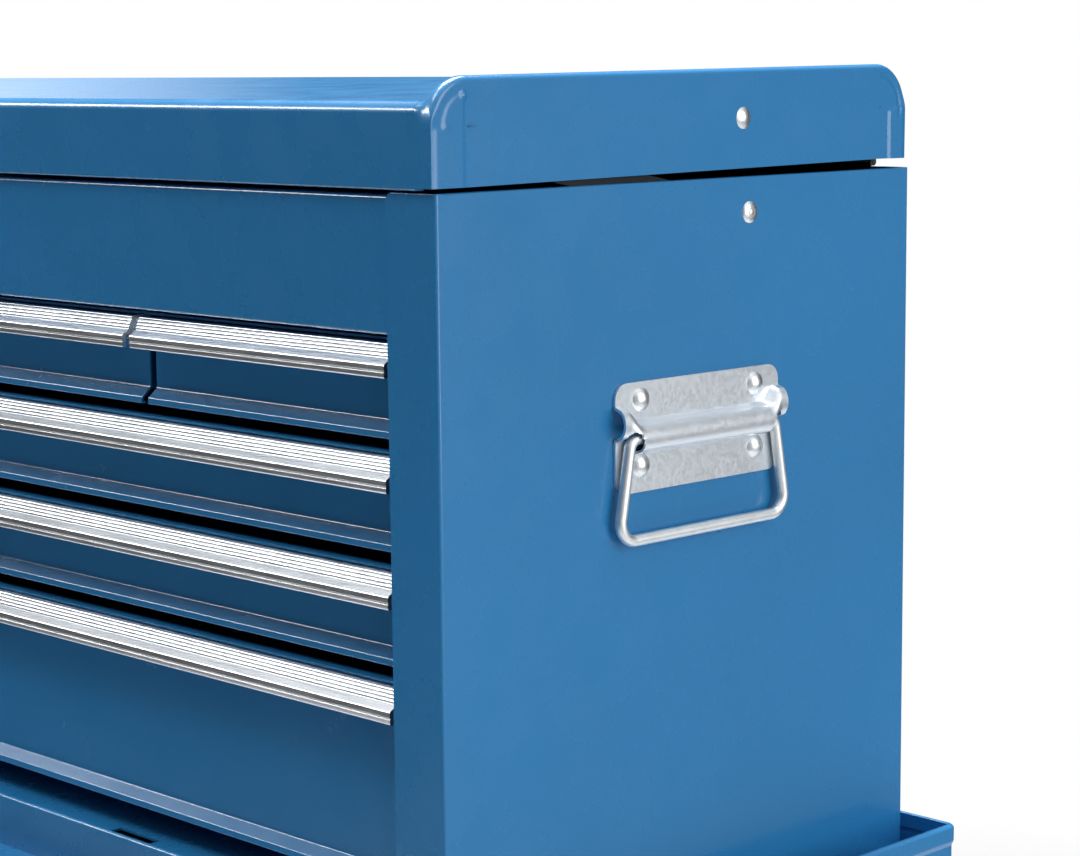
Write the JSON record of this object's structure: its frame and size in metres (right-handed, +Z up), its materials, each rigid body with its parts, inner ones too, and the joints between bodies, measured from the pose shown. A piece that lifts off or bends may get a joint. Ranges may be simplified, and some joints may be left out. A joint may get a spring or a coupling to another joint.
{
  "type": "rolling tool chest",
  "caption": "Lidded top chest with drawers and side bail handles standing in the rimmed tray of a drawer cabinet on swivel and fixed casters.",
  "frame": {"origin": "on the floor, at the centre of the roller cabinet's plan", "axes": "+X to the right seen from the front, -Y towards the front, +Z up"},
  "size_m": [0.838, 0.326, 1.0688],
  "materials": {
    "blue_paint": "glossy baked enamel",
    "drawer_paint": "glossy baked enamel",
    "anodised_pull": "bright drawn aluminium with fine ribs",
    "zinc": "zinc plated, slightly frosted",
    "steel": "zinc plated steel",
    "chrome": "chrome plated lock",
    "wheel_rubber": "matte black rubber on a grey hub",
    "brake_paint": "black enamel"
  },
  "bodies": {
    "casing": {"chest_side_left": "blue_paint", "chest_side_right": "blue_paint", "chest_back_panel": "blue_paint", "chest_front_band": "blue_paint", "chest_till_floor": "blue_paint", "chest_base_panel": "blue_paint", "chest_drawer_dividers": "blue_paint", "chest_drawer_slides": "steel", "lid_hinge_fixed_leaf": "steel", "side_handle_plates": "zinc", "chest_rivets": "zinc", "chest_lock_barrel": "chrome", "cabinet_side_left": "blue_paint", "cabinet_side_right": "blue_paint", "cabinet_back_panel": "blue_paint", "cabinet_top_tray": "blue_paint", "cabinet_base_panel": "blue_paint", "cabinet_drawer_slides": "steel", "fixed_caster_brackets": "steel", "swivel_caster_plates": "steel"},
    "lid": {"lid_top_sheet": "blue_paint", "lid_end_left": "blue_paint", "lid_end_right": "blue_paint", "lid_hinge_moving_leaf": "steel", "lid_stay_rivets": "steel"},
    "stay_lower_left": {"lid_stay_lower_link_left": "steel"},
    "stay_upper_left": {"lid_stay_upper_link_left": "steel"},
    "bail_left": {"handle_bail_left": "zinc"},
    "stay_lower_right": {"lid_stay_lower_link_right": "steel"},
    "stay_upper_right": {"lid_stay_upper_link_right": "steel"},
    "bail_right": {"handle_bail_right": "zinc"},
    "lock_plug": {"chest_lock_plug": "chrome"},
    "chest_drawer_small_left": {"chest_drawer_small_left": "drawer_paint", "chest_drawer_small_left_pull": "anodised_pull"},
    "chest_drawer_small_centre": {"chest_drawer_small_centre": "drawer_paint", "chest_drawer_small_centre_pull": "anodised_pull"},
    "chest_drawer_small_right": {"chest_drawer_small_right": "drawer_paint", "chest_drawer_small_right_pull": "anodised_pull"},
    "chest_drawer_upper": {"chest_drawer_upper": "drawer_paint", "chest_drawer_upper_pull": "anodised_pull"},
    "chest_drawer_middle": {"chest_drawer_middle": "drawer_paint", "chest_drawer_middle_pull": "anodised_pull"},
    "chest_drawer_deep": {"chest_drawer_deep": "drawer_paint", "chest_drawer_deep_pull": "anodised_pull"},
    "cabinet_drawer_1": {"cabinet_drawer_1": "drawer_paint", "cabinet_drawer_1_pull": "anodised_pull"},
    "cabinet_drawer_2": {"cabinet_drawer_2": "drawer_paint", "cabinet_drawer_2_pull": "anodised_pull"},
    "cabinet_drawer_3": {"cabinet_drawer_3": "drawer_paint", "cabinet_drawer_3_pull": "anodised_pull"},
    "cabinet_drawer_4": {"cabinet_drawer_4": "drawer_paint", "cabinet_drawer_4_pull": "anodised_pull"},
    "swivel_left": {"swivel_fork_left": "steel"},
    "front_wheel_left": {"front_wheel_left": "wheel_rubber"},
    "brake_left": {"brake_pedal_left": "brake_paint"},
    "rear_wheel_left": {"rear_wheel_left": "wheel_rubber"},
    "swivel_right": {"swivel_fork_right": "steel"},
    "front_wheel_right": {"front_wheel_right": "wheel_rubber"},
    "brake_right": {"brake_pedal_right": "brake_paint"},
    "rear_wheel_right": {"rear_wheel_right": "wheel_rubber"}
  },
  "joints": [
    {"name": "lid_hinge", "type": "hinge", "parent": "casing", "child": "lid", "pos_m": [0, 0.1552, 1.0222], "axis": [-1, 0, 0], "range_deg": [0, 85]},
    {"name": "stay_lower_left_pivot", "type": "hinge", "parent": "casing", "child": "stay_lower_left", "pos_m": [-0.3867, 0.0403, 1.0041], "axis": [-1, 0, 0], "range_deg": [0, 86]},
    {"name": "stay_upper_left_pivot", "type": "hinge", "parent": "lid", "child": "stay_upper_left", "pos_m": [-0.3846, 0.0361, 1.0458], "axis": [1, 0, 0], "range_deg": [0, 86]},
    {"name": "bail_left_swing", "type": "hinge", "parent": "casing", "child": "bail_left", "pos_m": [-0.3945, 0.005, 0.911], "axis": [0, 1, 0], "range_deg": [0, 90]},
    {"name": "stay_lower_right_pivot", "type": "hinge", "parent": "casing", "child": "stay_lower_right", "pos_m": [0.3867, 0.0403, 1.0041], "axis": [-1, 0, 0], "range_deg": [0, 86]},
    {"name": "stay_upper_right_pivot", "type": "hinge", "parent": "lid", "child": "stay_upper_right", "pos_m": [0.3846, 0.0361, 1.0458], "axis": [1, 0, 0], "range_deg": [0, 86]},
    {"name": "bail_right_swing", "type": "hinge", "parent": "casing", "child": "bail_right", "pos_m": [0.3945, 0.005, 0.911], "axis": [0, -1, 0], "range_deg": [0, 90]},
    {"name": "lock_turn", "type": "hinge", "parent": "casing", "child": "lock_plug", "pos_m": [-0.28, -0.13, 0.991], "axis": [0, -1, 0], "range_deg": [0, 90]},
    {"name": "chest_drawer_small_left_slide", "type": "slide", "parent": "casing", "child": "chest_drawer_small_left", "axis": [0, -1, 0], "range_m": [0, 0.2]},
    {"name": "chest_drawer_small_centre_slide", "type": "slide", "parent": "casing", "child": "chest_drawer_small_centre", "axis": [0, -1, 0], "range_m": [0, 0.2]},
    {"name": "chest_drawer_small_right_slide", "type": "slide", "parent": "casing", "child": "chest_drawer_small_right", "axis": [0, -1, 0], "range_m": [0, 0.2]},
    {"name": "chest_drawer_upper_slide", "type": "slide", "parent": "casing", "child": "chest_drawer_upper", "axis": [0, -1, 0], "range_m": [0, 0.2]},
    {"name": "chest_drawer_middle_slide", "type": "slide", "parent": "casing", "child": "chest_drawer_middle", "axis": [0, -1, 0], "range_m": [0, 0.2]},
    {"name": "chest_drawer_deep_slide", "type": "slide", "parent": "casing", "child": "chest_drawer_deep", "axis": [0, -1, 0], "range_m": [0, 0.2]},
    {"name": "cabinet_drawer_1_slide", "type": "slide", "parent": "casing", "child": "cabinet_drawer_1", "axis": [0, -1, 0], "range_m": [0, 0.22]},
    {"name": "cabinet_drawer_2_slide", "type": "slide", "parent": "casing", "child": "cabinet_drawer_2", "axis": [0, -1, 0], "range_m": [0, 0.22]},
    {"name": "cabinet_drawer_3_slide", "type": "slide", "parent": "casing", "child": "cabinet_drawer_3", "axis": [0, -1, 0], "range_m": [0, 0.22]},
    {"name": "cabinet_drawer_4_slide", "type": "slide", "parent": "casing", "child": "cabinet_drawer_4", "axis": [0, -1, 0], "range_m": [0, 0.22]},
    {"name": "swivel_left_turn", "type": "hinge", "parent": "casing", "child": "swivel_left", "pos_m": [-0.368, -0.117, 0.095], "axis": [0, 0, 1], "continuous": true},
    {"name": "front_wheel_left_spin", "type": "hinge", "parent": "swivel_left", "child": "front_wheel_left", "pos_m": [-0.368, -0.089, 0.0375], "axis": [1, 0, 0], "continuous": true},
    {"name": "brake_left_press", "type": "hinge", "parent": "swivel_left", "child": "brake_left", "pos_m": [-0.368, -0.081, 0.082], "axis": [-1, 0, 0], "range_deg": [0, 10]},
    {"name": "rear_wheel_left_spin", "type": "hinge", "parent": "casing", "child": "rear_wheel_left", "pos_m": [-0.368, 0.117, 0.0375], "axis": [1, 0, 0], "continuous": true},
    {"name": "swivel_right_turn", "type": "hinge", "parent": "casing", "child": "swivel_right", "pos_m": [0.368, -0.117, 0.095], "axis": [0, 0, 1], "continuous": true},
    {"name": "front_wheel_right_spin", "type": "hinge", "parent": "swivel_right", "child": "front_wheel_right", "pos_m": [0.368, -0.089, 0.0375], "axis": [1, 0, 0], "continuous": true},
    {"name": "brake_right_press", "type": "hinge", "parent": "swivel_right", "child": "brake_right", "pos_m": [0.368, -0.081, 0.082], "axis": [-1, 0, 0], "range_deg": [0, 10]},
    {"name": "rear_wheel_right_spin", "type": "hinge", "parent": "casing", "child": "rear_wheel_right", "pos_m": [0.368, 0.117, 0.0375], "axis": [1, 0, 0], "continuous": true}
  ],
  "couplings": [
    {"joint": "stay_lower_left_pivot", "follows": "lid_hinge", "ratio": 1.0093},
    {"joint": "stay_upper_left_pivot", "follows": "lid_hinge", "ratio": 1.0067},
    {"joint": "stay_lower_right_pivot", "follows": "lid_hinge", "ratio": 1.0093},
    {"joint": "stay_upper_right_pivot", "follows": "lid_hinge", "ratio": 1.0067}
  ]
}
